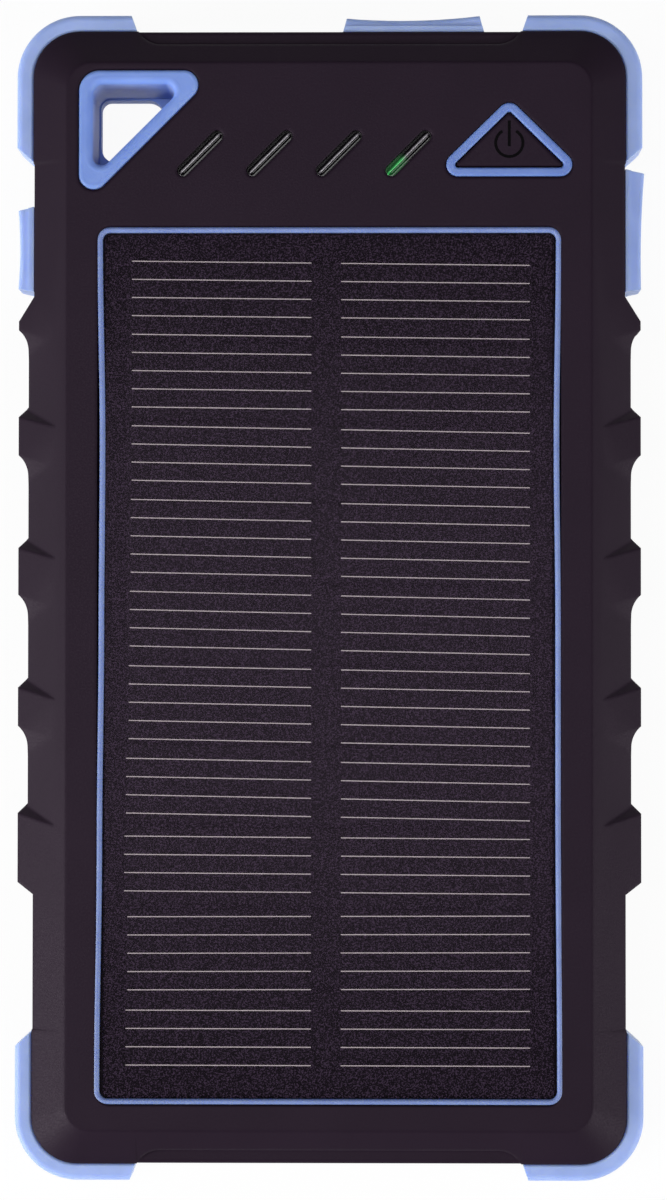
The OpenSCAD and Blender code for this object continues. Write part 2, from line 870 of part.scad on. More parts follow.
module bumper_bottom_left() {
    rotate(180)
        bumper();
}

module bumper_bottom_right() {
    mirror([0, 1, 0])
        bumper();
}

// Lanyard sleeve: a lined hole from front to back, held by a shoulder between the two walls

module sleeve_outer_band(less) {
    half = sleeve_band / 2;
    round_bar(half - less, less, case_h + inlay_proud - less, sleeve_edge_r);
    translate([0, floor_t + less])
        square([half + sleeve_shoulder - less, ceiling_z - floor_t - 2 * less]);
}

module sleeve_inner_band(less) {
    round_bar(hole_band / 2 - less, less, case_h + inlay_proud - less, hole_edge_r);
}

module lanyard_sleeve() {
    outer_pts = inset(sleeve_pts, sleeve_band / 2);
    outer_radii = [for (r = sleeve_radii) r - sleeve_band / 2];
    inner_pts = inset(sleeve_pts, sleeve_wall - hole_band / 2);
    inner_radii = [for (r = hole_radii) r + hole_band / 2];
    root_pts = inset(sleeve_pts, sleeve_wall - hole_band / 4);
    root_radii = [for (r = hole_radii) r + hole_band / 4];
    color("#7a98dc") {
        sweep(outer_pts, outer_radii, lap) {
            sleeve_outer_band(0);
            sleeve_outer_band(slim);
        }
        sweep(inner_pts, inner_radii, lap) {
            sleeve_inner_band(0);
            sleeve_inner_band(slim);
        }
        translate([0, 0, 2 * slim])
            linear_extrude(case_h + inlay_proud - 4 * slim)
                difference() {
                    rounded(outer_pts, outer_radii);
                    rounded(inner_pts, inner_radii);
                }
        translate([0, 0, hole_edge_r + slim])
            linear_extrude(sleeve_rim_h - hole_edge_r)
                difference() {
                    rounded(root_pts, root_radii);
                    rounded(inset(sleeve_pts, sleeve_wall + sleeve_rim), rim_radii);
                }
    }
}

// Solar panel

module panel_plate(z0, t) {
    translate([0, trim_y, z0])
        linear_extrude(t)
            rounded_box(panel_w, panel_l, panel_r);
}

module cell_strips() {
    for (i = [0:cell_count - 1])
        translate([0, trim_y + ((cell_count - 1) / 2 - i) * cell_pitch, resin_z])
            rotate(cell_turns[i % len(cell_turns)])
                translate([-cell_l / 2, -cell_w / 2, 0])
                    cube([cell_l, cell_w, cell_t]);
}

module solar_board() {
    color("#1f1a26")
    panel_plate(recess_z, solar_board_t);
}

module solar_cells() {
    color("#2f2638")
    cell_strips();
}

module panel_resin() {
    color("#2b2430")
    difference() {
        panel_plate(resin_z, resin_t);
        cell_strips();
    }
}

module panel_trim() {
    half = trim_t / 2;
    z1 = case_h + inlay_proud;
    color("#7686b8")
    translate([0, trim_y, 0])
        sweep(box_pts(trim_w - trim_t, trim_l - trim_t), same(trim_r - half, 4))
            union() {
                translate([-half, recess_z])
                    square([trim_t, z1 - half - recess_z]);
                translate([0, z1 - half])
                    circle(r = half);
            }
}

// Controls

module button_ring() {
    half = ring_t / 2;
    color("#6c86c6")
    sweep(inset(ring_pts, half), same(ring_r - half, 3), lap) {
        round_bar(half, ceiling_z, case_h + inlay_proud, ring_edge_r);
        round_bar(half - slim, ceiling_z + slim, case_h + inlay_proud - slim, ring_edge_r);
    }
}

module power_button() {
    color("#27212c") {
        translate([0, 0, button_z0])
            linear_extrude(case_h - button_sink - button_z0)
                rounded(button_pts, same(button_r, 3));
        translate([0, 0, button_z0])
            linear_extrude(button_flange_t)
                rounded(inset(button_pts, -button_flange), same(button_r + button_flange, 3));
    }
}

module switch_body() {
    color("silver")
    translate([switch_x, switch_y, board_top])
        difference() {
            linear_extrude(switch_h)
                rounded_box(switch_w, switch_w, switch_r);
            translate([0, 0, -1])
                cylinder(r = plunger_r + plunger_gap, h = switch_h + 2);
        }
}

module switch_plunger() {
    color("#202020")
    translate([switch_x, switch_y, plunger_z0])
        cylinder(r = plunger_r, h = button_z0 - plunger_z0);
}

module at_light(i) {
    translate([light_x0 + (i - 1) * light_pitch, light_y, 0])
        rotate(light_turn)
            children();
}

// Clear bar with a round top, a flange under the front wall and its foot on the LED
module light_pipe(i) {
    r = pipe_w / 2;
    top = case_h - pipe_sink;
    foot = board_top + led_h;
    color("#8c8a94")
    at_light(i) {
        translate([0, 0, foot])
            linear_extrude(top - r - foot)
                stadium(pipe_l, pipe_w);
        translate([-(pipe_l - pipe_w) / 2, 0, top - r])
            rotate([0, 90, 0])
                cylinder(r = r, h = pipe_l - pipe_w);
        for (s = [-1, 1])
            translate([s * (pipe_l - pipe_w) / 2, 0, top - r])
                sphere(r = r);
        translate([0, 0, ceiling_z - pipe_flange_t])
            linear_extrude(pipe_flange_t)
                stadium(slot_l + 2 * pipe_flange, slot_w + 2 * pipe_flange);
    }
}

module status_led(i) {
    color(i == light_count ? "#3fd36a" : "#e8e4d8")
    at_light(i)
        translate([-led_l / 2, -led_w / 2, board_top])
            cube([led_l, led_w, led_h]);
}

// Board and sockets

module main_board() {
    color("#1f5a3a")
    translate([0, 0, board_z])
        linear_extrude(board_t)
            polygon([
                [-board_x, board_y0], [board_x, board_y0], [board_x, board_y1],
                [board_y1 - sleeve_line, board_y1], [sleeve_low_y - sleeve_line, sleeve_low_y],
                [-board_x, sleeve_low_y]
            ]);
}

module control_chip() {
    color("#1a1a1c")
    translate([chip_pos.x - chip_w / 2, chip_pos.y - chip_w / 2, board_z - chip_h])
        cube([chip_w, chip_w, chip_h]);
}

module boost_inductor() {
    color("#3a3a40")
    translate([coil_pos.x, coil_pos.y, board_z - coil_h])
        linear_extrude(coil_h)
            rounded_box(coil_w, coil_w, coil_r);
}

// Receptacle shell, open to the outside, with its mouth just inside the case
module socket_shell(w, h, l, z0, r) {
    translate([-socket_in - l, 0, z0 + h / 2])
        rotate([90, 0, 90])
            difference() {
                linear_extrude(l)
                    rounded_box(w, h, r);
                translate([0, 0, usb_t])
                    linear_extrude(l)
                        rounded_box(w - 2 * usb_t, h - 2 * usb_t, r - usb_t);
            }
}

module socket_tongue(w, t, l, z_mid) {
    translate([-socket_in - l + usb_t, -w / 2, z_mid - t / 2])
        cube([l - usb_t - tongue_in, w, t]);
}

module usb_shell() {
    color("silver")
    socket_shell(usb_w, usb_h, usb_l, usb_z0, usb_r);
}

module usb_tongue() {
    color("white")
    socket_tongue(tongue_w, tongue_t, usb_l, board_z - usb_t - tongue_above - tongue_t / 2);
}

module usb_shell_top() {
    on_top() usb_shell();
}

module usb_tongue_top() {
    on_top() usb_tongue();
}

module usb_shell_side() {
    on_right() usb_shell();
}

module usb_tongue_side() {
    on_right() usb_tongue();
}

module micro_usb_shell() {
    color("silver")
    on_left() socket_shell(micro_w, micro_h, micro_l, micro_z0, micro_r);
}

module micro_usb_tongue() {
    color("#202020")
    on_left() socket_tongue(micro_tongue_w, micro_tongue_t, micro_l, micro_z0 + micro_h / 2);
}

// Battery, pads, leads and screws

module battery_plan(margin) {
    translate([0, (battery_y0 + battery_y1) / 2])
        rounded_box(2 * (battery_x - margin), battery_y1 - battery_y0 - 2 * margin, battery_r);
}

module battery_cell() {
    color("#b8bcc4")
    translate([0, 0, battery_z0])
        linear_extrude(battery_t)
            battery_plan(0);
}

module battery_pad_rear() {
    color("#4a4a4e")
    translate([0, 0, floor_t])
        linear_extrude(battery_pad_t)
            battery_plan(pad_margin);
}

module battery_pad_front() {
    color("#4a4a4e")
    translate([0, 0, battery_z0 + battery_t])
        linear_extrude(battery_pad_t)
            battery_plan(pad_margin);
}

module battery_leads() {
    color("firebrick")
    for (x = [-lead_x, lead_x])
        translate([x, battery_y1, battery_lead_z]) {
            rotate([-90, 0, 0])
                cylinder(d = battery_lead_d, h = battery_lead_y - battery_y1);
            translate([0, battery_lead_y - battery_y1, 0]) {
                sphere(d = battery_lead_d);
                cylinder(d = battery_lead_d, h = board_z - battery_lead_z);
            }
        }
}

module solar_leads() {
    color("#30303a")
    for (x = [-lead_x, lead_x])
        translate([x, lead_y, board_top])
            cylinder(d = lead_d, h = recess_z - board_top);
}

module case_screws() {
    color("#8a8d92")
    at_screws()
        difference() {
            union() {
                translate([0, 0, screw_head_z])
                    cylinder(d = screw_head_d, h = screw_head_h);
                translate([0, 0, screw_head_z])
                    cylinder(d = screw_d, h = screw_end_z - screw_head_z);
            }
            for (a = [0, 90])
                rotate(a)
                    translate([-screw_cross_l / 2, -screw_cross_w / 2, 0])
                        cube([screw_cross_l, screw_cross_w, screw_head_z + screw_cross_d]);
        }
}

// Port covers: a flap with a bead along its rear edge and a lip that closes the socket

// Section of the bowed part of a cover, out to x = 0, with round outer edges
module cover_profile(t) {
    r = cover_edge_r;
    z0 = cover_z0 + cover_step;
    z1 = cover_z1 - cover_step;
    translate([-2 * t, z0])
        square([2 * t - r, z1 - z0]);
    translate([-2 * t, z0 + r])
        square([2 * t, z1 - z0 - 2 * r]);
    for (z = [z0 + r, z1 - r])
        translate([-r, z])
            circle(r = r, $fn = round_fn);
}

// Outer part of a cover, carried along its bow
module cover_bow(length, t, bow) {
    turn = asin((length / 2 + abs(bow[1]) + 1) / bow[0]);
    translate([t + bow[0], bow[1], 0])
        rotate(180 - turn)
            rotate_extrude(angle = 2 * turn, $fn = bow_fn)
                translate([bow[0], 0])
                    mirror([1, 0])
                        cover_profile(t);
}

// Plan of a cover from its inner face to x1, with ends that lean in
module cover_plan(length, t, x1) {
    lean = cover_lean * x1 / t;
    half = length / 2;
    polygon([[cover_gap, -half], [x1, lean - half], [x1, half - lean], [cover_gap, half]]);
}

module port_cover(length, t, bow, w, h, z0) {
    color("#8fa3db") {
        translate([0, 0, cover_z0])
            linear_extrude(cover_z1 - cover_z0)
                cover_plan(length, t, cover_base_t);
        intersection() {
            cover_bow(length, t, bow);
            linear_extrude(case_h)
                cover_plan(length, t, 2 * t);
        }
        translate([-bead_in, 0, hinge_z])
            rotate([90, 0, 0])
                cylinder(r = bead_r, h = length - bead_short, center = true);
        cover_lip(w - 2 * usb_t - 2 * lip_side_gap, z0 + usb_t + lip_low_gap, z0 + h - usb_t - lip_top_gap);
    }
}

module cover_lip(w, z0, z1) {
    translate([-lip_d, 0, (z0 + z1) / 2])
        rotate([90, 0, 90])
            linear_extrude(lip_d + cover_gap + eps)
                rounded_box(w, z1 - z0, lip_r);
}

module port_cover_left() {
    on_left() port_cover(micro_cover_l, micro_cover_t, micro_bow, micro_w, micro_h, micro_z0);
}

module port_cover_right() {
    on_right() port_cover(side_cover_l, side_cover_t, side_bow, usb_w, usb_h, usb_z0);
}

module port_cover_top() {
    on_top() port_cover(top_cover_l, top_cover_t, top_bow, usb_w, usb_h, usb_z0);
}

front_case();
rear_case();
case_seal();
bumper_top_left();
bumper_top_right();
bumper_bottom_left();
bumper_bottom_right();
lanyard_sleeve();
solar_board();
solar_cells();
panel_resin();
panel_trim();
button_ring();
power_button();
switch_body();
switch_plunger();
light_pipe(1);  // light_pipe_1
light_pipe(2);  // light_pipe_2
light_pipe(3);  // light_pipe_3
light_pipe(4);  // light_pipe_4
status_led(1);  // status_led_1
status_led(2);  // status_led_2
status_led(3);  // status_led_3
status_led(4);  // status_led_4
main_board();
control_chip();
boost_inductor();
usb_shell_top();
usb_tongue_top();
usb_shell_side();
usb_tongue_side();
micro_usb_shell();
micro_usb_tongue();
battery_cell();
battery_pad_rear();
battery_pad_front();
battery_leads();
solar_leads();
case_screws();
port_cover_left();
port_cover_right();
port_cover_top();
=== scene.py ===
"""Looks of a solar phone charger: finishes, fine pieces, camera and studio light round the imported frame."""
import math

import bmesh
import bpy
from mathutils import Matrix, Vector


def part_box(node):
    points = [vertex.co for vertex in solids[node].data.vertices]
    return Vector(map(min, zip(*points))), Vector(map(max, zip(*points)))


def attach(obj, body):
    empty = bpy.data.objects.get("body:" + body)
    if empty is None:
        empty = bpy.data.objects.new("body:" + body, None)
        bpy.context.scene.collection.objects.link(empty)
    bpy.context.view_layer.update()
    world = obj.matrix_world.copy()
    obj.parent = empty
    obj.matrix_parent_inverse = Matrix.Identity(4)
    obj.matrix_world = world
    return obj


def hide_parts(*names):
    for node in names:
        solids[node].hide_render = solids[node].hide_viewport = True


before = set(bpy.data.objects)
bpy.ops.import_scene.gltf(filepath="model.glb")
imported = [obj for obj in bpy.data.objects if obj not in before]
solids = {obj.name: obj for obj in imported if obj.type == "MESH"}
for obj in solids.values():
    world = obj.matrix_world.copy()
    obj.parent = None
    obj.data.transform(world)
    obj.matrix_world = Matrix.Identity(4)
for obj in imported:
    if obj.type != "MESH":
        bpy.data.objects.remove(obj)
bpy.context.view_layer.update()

MM = 0.001


def extent(name):
    """Lowest and highest corner of a solid, in millimetres."""
    low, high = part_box(name)
    return Vector(low) / MM, Vector(high) / MM


def linear(hex_colour):
    """An sRGB hex colour as linear red, green, blue and full alpha."""
    parts = [int(hex_colour[i:i + 2], 16) / 255 for i in (1, 3, 5)]
    return tuple(c / 12.92 if c <= 0.04045 else ((c + 0.055) / 1.055) ** 2.4 for c in parts) + (1.0,)


# Finishes

def new_finish(name):
    """An empty material; returns it and its node tree."""
    finish = bpy.data.materials.new(name)
    finish.use_nodes = True
    finish.node_tree.nodes.clear()
    return finish, finish.node_tree


def add(tree, kind, inputs=(), **settings):
    """Adds one node: settings are its properties, inputs are socket values or the outputs linked to them."""
    node = tree.nodes.new(kind)
    for key, value in settings.items():
        setattr(node, key, value)
    for key, value in dict(inputs).items():
        if isinstance(value, bpy.types.NodeSocket):
            tree.links.new(value, node.inputs[key])
        else:
            node.inputs[key].default_value = value
    return node


def black_abs():
    """Spark-eroded black ABS: nearly black with a touch of violet, a broad dull sheen and soft edges.

    The texture of the mould is about 0.06 mm; it is drawn 0.22 mm coarse, as one pixel is 0.12 mm.
    """
    finish, tree = new_finish("black_abs")
    place = add(tree, "ShaderNodeTexCoord").outputs["Object"]
    grain = add(tree, "ShaderNodeTexNoise", {"Vector": place, "Scale": 1 / (0.22 * MM)}).outputs["Fac"]
    patch = add(tree, "ShaderNodeTexNoise", {"Vector": place, "Scale": 1 / (9 * MM)}).outputs["Fac"]
    colour = add(tree, "ShaderNodeMix", {
        0: patch, 6: linear("#1c121e"), 7: linear("#221724"),
    }, data_type="RGBA")
    rough = add(tree, "ShaderNodeMapRange", {
        "Value": grain, "From Min": 0.3, "From Max": 0.7, "To Min": 0.44, "To Max": 0.6,
    })
    rounded = add(tree, "ShaderNodeBevel", {"Radius": 0.6 * MM}, samples=8)
    bump = add(tree, "ShaderNodeBump", {
        "Height": grain, "Strength": 0.25, "Distance": 0.05 * MM, "Normal": rounded.outputs["Normal"],
    })
    shader = add(tree, "ShaderNodeBsdfPrincipled", {
        "Base Color": colour.outputs[2], "Roughness": rough.outputs["Result"], "IOR": 1.53,
        "Specular IOR Level": 0.125, "Specular Tint": linear("#f4e2f2"), "Normal": bump.outputs["Normal"],
    })
    add(tree, "ShaderNodeOutputMaterial", {"Surface": shader.outputs["BSDF"]})
    return finish


def blue_silicone(name, dark, light, roughness):
    """Moulded silicone: even pale blue, slightly cloudy, with a satin sheen and light passing under its skin.

    The skin's fine texture is drawn 0.3 mm coarse so that it shows.
    """
    finish, tree = new_finish(name)
    place = add(tree, "ShaderNodeTexCoord").outputs["Object"]
    cloud = add(tree, "ShaderNodeTexNoise", {"Vector": place, "Scale": 1 / (4 * MM)}).outputs["Fac"]
    skin = add(tree, "ShaderNodeTexNoise", {"Vector": place, "Scale": 1 / (0.3 * MM)}).outputs["Fac"]
    spread = add(tree, "ShaderNodeMapRange", {"Value": cloud, "From Min": 0.3, "From Max": 0.7})
    colour = add(tree, "ShaderNodeMix", {
        0: spread.outputs["Result"], 6: linear(dark), 7: linear(light),
    }, data_type="RGBA")
    rough = add(tree, "ShaderNodeMapRange", {
        "Value": skin, "From Min": 0.3, "From Max": 0.7,
        "To Min": roughness - 0.05, "To Max": roughness + 0.05,
    })
    bump = add(tree, "ShaderNodeBump", {"Height": skin, "Strength": 0.12, "Distance": 0.05 * MM})
    shader = add(tree, "ShaderNodeBsdfPrincipled", {
        "Base Color": colour.outputs[2], "Roughness": rough.outputs["Result"], "IOR": 1.41,
        "Subsurface Weight": 0.5, "Subsurface Radius": (0.5, 0.6, 1.0), "Subsurface Scale": 1.0 * MM,
        "Normal": bump.outputs["Normal"],
    })
    add(tree, "ShaderNodeOutputMaterial", {"Surface": shader.outputs["BSDF"]})
    return finish


def frosted_resin():
    """Frosted epoxy over the cells: a dark violet haze with a sparkling grain that dims what lies below.

    The grain is about 0.1 mm; it is drawn 0.18 mm coarse so that it shows.
    """
    finish, tree = new_finish("frosted_resin")
    place = add(tree, "ShaderNodeTexCoord").outputs["Object"]
    grain = add(tree, "ShaderNodeTexNoise", {
        "Vector": place, "Scale": 1 / (0.18 * MM), "Detail": 1.0,
    }).outputs["Fac"]
    spark = add(tree, "ShaderNodeMapRange", {"Value": grain, "From Min": 0.5, "From Max": 0.64})
    colour = add(tree, "ShaderNodeMix", {
        0: spark.outputs["Result"], 6: linear("#010101"), 7: linear("#58465f"),
    }, data_type="RGBA")
    bump = add(tree, "ShaderNodeBump", {"Height": grain, "Strength": 0.06, "Distance": 0.05 * MM})
    shader = add(tree, "ShaderNodeBsdfPrincipled", {
        "Base Color": colour.outputs[2], "Roughness": 0.18, "IOR": 1.5, "Specular IOR Level": 0.09,
        "Specular Tint": linear("#ebcbef"), "Alpha": 0.35, "Normal": bump.outputs["Normal"],
    })
    add(tree, "ShaderNodeOutputMaterial", {"Surface": shader.outputs["BSDF"]})
    return finish


def cell_silicon():
    """Coated silicon cell: very dark with a faint reddish violet and small crystals, dull under the resin."""
    finish, tree = new_finish("cell_silicon")
    place = add(tree, "ShaderNodeTexCoord").outputs["Object"]
    crystal = add(tree, "ShaderNodeTexVoronoi", {"Vector": place, "Scale": 1 / (0.5 * MM)}, feature="F1")
    tone = add(tree, "ShaderNodeSeparateColor", {"Color": crystal.outputs["Color"]})
    colour = add(tree, "ShaderNodeMix", {
        0: tone.outputs["Red"], 6: linear("#120b14"), 7: linear("#1a121d"),
    }, data_type="RGBA")
    shader = add(tree, "ShaderNodeBsdfPrincipled", {
        "Base Color": colour.outputs[2], "Roughness": 0.4, "IOR": 1.5, "Specular IOR Level": 0.05,
    })
    add(tree, "ShaderNodeOutputMaterial", {"Surface": shader.outputs["BSDF"]})
    return finish


def light_pipe(name, lit):
    """Clear moulded polycarbonate, its colour painted with light and shade: dark flanks and a pale highlight
    streak along the middle.

    The lit pipe glows green over its lower left end, where its colour is also painted dark green with the
    glow's light.
    """
    finish, tree = new_finish(name)
    first, last = (sum(extent(f"light_pipe_{k}"), Vector()) / 2 for k in (1, 4))
    slope = math.sqrt(0.5)
    step = (last.x - first.x) / 3 * slope
    place = add(tree, "ShaderNodeTexCoord").outputs["Object"]
    across = add(tree, "ShaderNodeVectorMath", {
        0: place, 1: (slope / MM, -slope / MM, 0),
    }, operation="DOT_PRODUCT")
    along = add(tree, "ShaderNodeVectorMath", {
        0: place, 1: (slope / MM, slope / MM, 0),
    }, operation="DOT_PRODUCT")
    off = add(tree, "ShaderNodeMath", {
        0: across.outputs["Value"], 1: (first.x - first.y) * slope,
    }, operation="SUBTRACT")
    folded = add(tree, "ShaderNodeMath", {0: off.outputs[0], 1: step / 2, 2: -step / 2}, operation="WRAP")
    middle = add(tree, "ShaderNodeMath", {0: folded.outputs[0]}, operation="ABSOLUTE")
    haze = add(tree, "ShaderNodeTexNoise", {"Vector": place, "Scale": 1 / (0.9 * MM)}).outputs["Fac"]
    edge = add(tree, "ShaderNodeMapRange", {
        "Value": haze, "From Min": 0.3, "From Max": 0.7, "To Min": 0.1, "To Max": 0.22,
    })
    # Painted highlight: a pale streak down the middle of each pipe, fading into painted shade on its flanks
    painted_highlight = add(tree, "ShaderNodeMapRange", {
        "Value": middle.outputs[0], "From Min": 0.03, "From Max": edge.outputs["Result"],
        "To Min": 1.0, "To Max": 0.0,
    }, interpolation_type="SMOOTHSTEP")
    colour = add(tree, "ShaderNodeMix", {
        0: painted_highlight.outputs["Result"], 6: linear("#0b090d"), 7: linear("#8b868d"),
    }, data_type="RGBA")
    shader = add(tree, "ShaderNodeBsdfPrincipled", {
        "Base Color": colour.outputs[2], "Roughness": 0.12, "IOR": 1.585,
    })
    if lit:
        centre = (last.x + last.y) * slope
        end = add(tree, "ShaderNodeMapRange", {
            "Value": along.outputs["Value"], "From Min": centre - 1.4, "From Max": centre - 0.2,
            "To Min": 1.0, "To Max": 0.0,
        }, interpolation_type="SMOOTHSTEP")
        # The glow is strongest along the painted highlight streak
        core = add(tree, "ShaderNodeMapRange", {
            "Value": painted_highlight.outputs["Result"], "To Min": 0.06, "To Max": 0.55,
        })
        glow = add(tree, "ShaderNodeMath", {0: end.outputs[0], 1: core.outputs[0]}, operation="MULTIPLY")
        # Painted light: the colour turns dark green towards the lit end, standing in for the green glow in
        # the clear plastic
        painted_glow_tint = add(tree, "ShaderNodeMix", {
            0: end.outputs[0], 6: colour.outputs[2], 7: linear("#123a1b"),
        }, data_type="RGBA")
        tree.links.new(painted_glow_tint.outputs[2], shader.inputs["Base Color"])
        shader.inputs["Emission Color"].default_value = linear("#4fdb74")
        tree.links.new(glow.outputs[0], shader.inputs["Emission Strength"])
    add(tree, "ShaderNodeOutputMaterial", {"Surface": shader.outputs["BSDF"]})
    return finish


def plain_finish(name, dark, light, roughness, grain_size, metallic=0.0, gloss=0.5):
    """Two close colours mixed by a grain of its own size in millimetres, which also breaks up the gloss."""
    finish, tree = new_finish(name)
    place = add(tree, "ShaderNodeTexCoord").outputs["Object"]
    grain = add(tree, "ShaderNodeTexNoise", {"Vector": place, "Scale": 1 / (grain_size * MM)}).outputs["Fac"]
    spread = add(tree, "ShaderNodeMapRange", {"Value": grain, "From Min": 0.3, "From Max": 0.7})
    colour = add(tree, "ShaderNodeMix", {
        0: spread.outputs["Result"], 6: linear(dark), 7: linear(light),
    }, data_type="RGBA")
    rough = add(tree, "ShaderNodeMapRange", {
        "Value": grain, "From Min": 0.3, "From Max": 0.7,
        "To Min": roughness - 0.06, "To Max": roughness + 0.06,
    })
    shader = add(tree, "ShaderNodeBsdfPrincipled", {
        "Base Color": colour.outputs[2], "Roughness": rough.outputs["Result"], "Metallic": metallic,
        "Specular IOR Level": gloss,
    })
    add(tree, "ShaderNodeOutputMaterial", {"Surface": shader.outputs["BSDF"]})
    return finish


case_abs = black_abs()
pale_silicone = blue_silicone("pale_blue_silicone", "#98aee4", "#a3b8ec", 0.45)
sleeve_silicone = blue_silicone("sleeve_silicone", "#7896dc", "#829fe4", 0.5)
ring_silicone = blue_silicone("ring_silicone", "#6783c8", "#718dd0", 0.42)
trim_silicone = blue_silicone("trim_silicone", "#7486bb", "#7f92c6", 0.42)
pipe_clear = light_pipe("clear_polycarbonate", False)
pipe_lit = light_pipe("lit_polycarbonate", True)
resin = frosted_resin()
cell = cell_silicon()
# Fired silver paste of the cell fingers: dull pinkish silver, a little uneven along the line
silver = plain_finish("silver_paste", "#f0e0e4", "#fff2f5", 0.5, 0.6, gloss=0.2)
# Matte black of the power sign: the sign is real, its dark colour is painted shade of its engraved groove;
# darker than the moulded button, without its sheen
sign_groove_shade = plain_finish("painted_sign_shade", "#040305", "#080609", 0.7, 0.3, gloss=0.05)
# Nickel-plated steel of the socket shells: bright, slightly brushed
nickel = plain_finish("nickel_plated_steel", "#b4b2ae", "#cac8c4", 0.3, 0.8, 1.0)
# Zinc-plated steel of the screws: greyer and duller
zinc = plain_finish("zinc_plated_steel", "#8d8f92", "#a3a5a8", 0.38, 0.4, 1.0)
# Gold-plated contacts: warm and shiny
gold = plain_finish("gold_plate", "#c79a45", "#dcb05a", 0.28, 0.5, 1.0)
# Glass-filled nylon: matte, with fine fibres
nylon = plain_finish("black_nylon", "#19191b", "#232326", 0.6, 0.3)
white_nylon = plain_finish("white_nylon", "#d8d6d0", "#e6e4de", 0.5, 0.4)
# Laminate with solder mask: satin green board, dull black panel substrate
green_board = plain_finish("green_solder_mask", "#1b5236", "#23613f", 0.4, 2.0)
panel_board = plain_finish("black_laminate", "#120b14", "#1a121d", 0.5, 0.6, gloss=0.05)
# Moulded epoxy and pressed ferrite: matte dark greys
epoxy = plain_finish("chip_epoxy", "#1b1b1d", "#242427", 0.55, 0.3)
ferrite = plain_finish("pressed_ferrite", "#34343a", "#414148", 0.6, 0.25)
# Milky resin of the LEDs, and the lit one, whose green glow is painted into its colour
lamp_off = plain_finish("led_resin", "#dcd8c8", "#ece8da", 0.35, 0.5)
painted_glow_led = plain_finish("led_resin_painted_glow", "#4fc97a", "#6fe096", 0.35, 0.5)
# Laminated aluminium pouch: satin silver, its tone mottled at about 3 mm as painted shade of soft creases
pouch = plain_finish("aluminium_pouch", "#a9adb5", "#bcc0c8", 0.35, 3.0, 0.7)
# Open-cell foam: dark, speckled and dull
foam = plain_finish("grey_foam", "#3f3f43", "#55555a", 0.85, 0.6)
# PVC lead sleeves and the silicone seal: satin, slightly uneven
lead_sleeve = plain_finish("red_pvc", "#a02828", "#b63434", 0.5, 1.0)
panel_lead = plain_finish("dark_pvc", "#2c2c36", "#383844", 0.5, 1.0)
seal = plain_finish("grey_silicone", "#5b5e66", "#686b74", 0.6, 0.8)

FINISH_OF = {
    "front_case": case_abs, "rear_case": case_abs, "power_button": case_abs,
    "port_cover_left": pale_silicone, "port_cover_right": pale_silicone, "port_cover_top": pale_silicone,
    "lanyard_sleeve": sleeve_silicone, "button_ring": ring_silicone, "panel_trim": trim_silicone,
    "case_seal": seal, "solar_board": panel_board, "solar_cells": cell, "panel_resin": resin,
    "main_board": green_board, "control_chip": epoxy, "boost_inductor": ferrite,
    "battery_cell": pouch, "battery_leads": lead_sleeve, "solar_leads": panel_lead, "case_screws": zinc,
}
FINISH_OF_KIND = (
    ("bumper", pale_silicone), ("light_pipe_4", pipe_lit), ("light_pipe", pipe_clear), ("led_4", painted_glow_led),
    ("led", lamp_off), ("shell", nickel), ("micro_usb_tongue", nylon), ("tongue", white_nylon), ("pad", foam),
    ("switch", nylon),
)

for name, solid in solids.items():
    by_kind = [finish for part, finish in FINISH_OF_KIND if part in name]
    solid.data.materials.clear()
    solid.data.materials.append(FINISH_OF[name] if name in FINISH_OF else by_kind[0])


def moulded_edges():
    """Modifier tree that shades small facets as one smooth surface and keeps sharper edges crisp."""
    sharp = math.radians(24)
    tree = bpy.data.node_groups.new("moulded_edges", "GeometryNodeTree")
    for way in ("INPUT", "OUTPUT"):
        tree.interface.new_socket(name="Geometry", in_out=way, socket_type="NodeSocketGeometry")
    given = add(tree, "NodeGroupInput")
    welded = add(tree, "GeometryNodeMergeByDistance", {"Geometry": given.outputs[0], "Distance": 0.002 * MM})
    bare = add(tree, "GeometryNodeRemoveAttribute", {"Geometry": welded.outputs[0], "Name": "custom_normal"})
    smooth = add(tree, "GeometryNodeSetShadeSmooth", {
        "Geometry": bare.outputs[0], "Shade Smooth": True,
    }, domain="FACE")
    angle = add(tree, "GeometryNodeInputMeshEdgeAngle")
    blunt = add(tree, "ShaderNodeMath", {
        0: angle.outputs["Unsigned Angle"], 1: sharp,
    }, operation="LESS_THAN")
    edges = add(tree, "GeometryNodeSetShadeSmooth", {
        "Geometry": smooth.outputs[0], "Shade Smooth": blunt.outputs[0],
    }, domain="EDGE")
    add(tree, "NodeGroupOutput", {0: edges.outputs[0]})
    return tree


facets = moulded_edges()
for name in ("front_case", "rear_case"):
    solids[name].modifiers.new("moulded_edges", "NODES").node_group = facets
    solids[name].modifiers.new("flat_faces_first", "WEIGHTED_NORMAL").keep_sharp = True


# Fine pieces

def piece(name, shape, finish, body="charger", smooth=False):
    """Turns a bmesh in millimetres into a named piece that rides a body."""
    bmesh.ops.scale(shape, vec=(MM, MM, MM), verts=shape.verts)
    bmesh.ops.recalc_face_normals(shape, faces=shape.faces)
    mesh = bpy.data.meshes.new(name)
    shape.to_mesh(mesh)
    shape.free()
    for face in mesh.polygons:
        face.use_smooth = smooth
    made = bpy.data.objects.new(name, mesh)
    bpy.context.scene.collection.objects.link(made)
    made.data.materials.append(finish)
    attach(made, body)
    return made


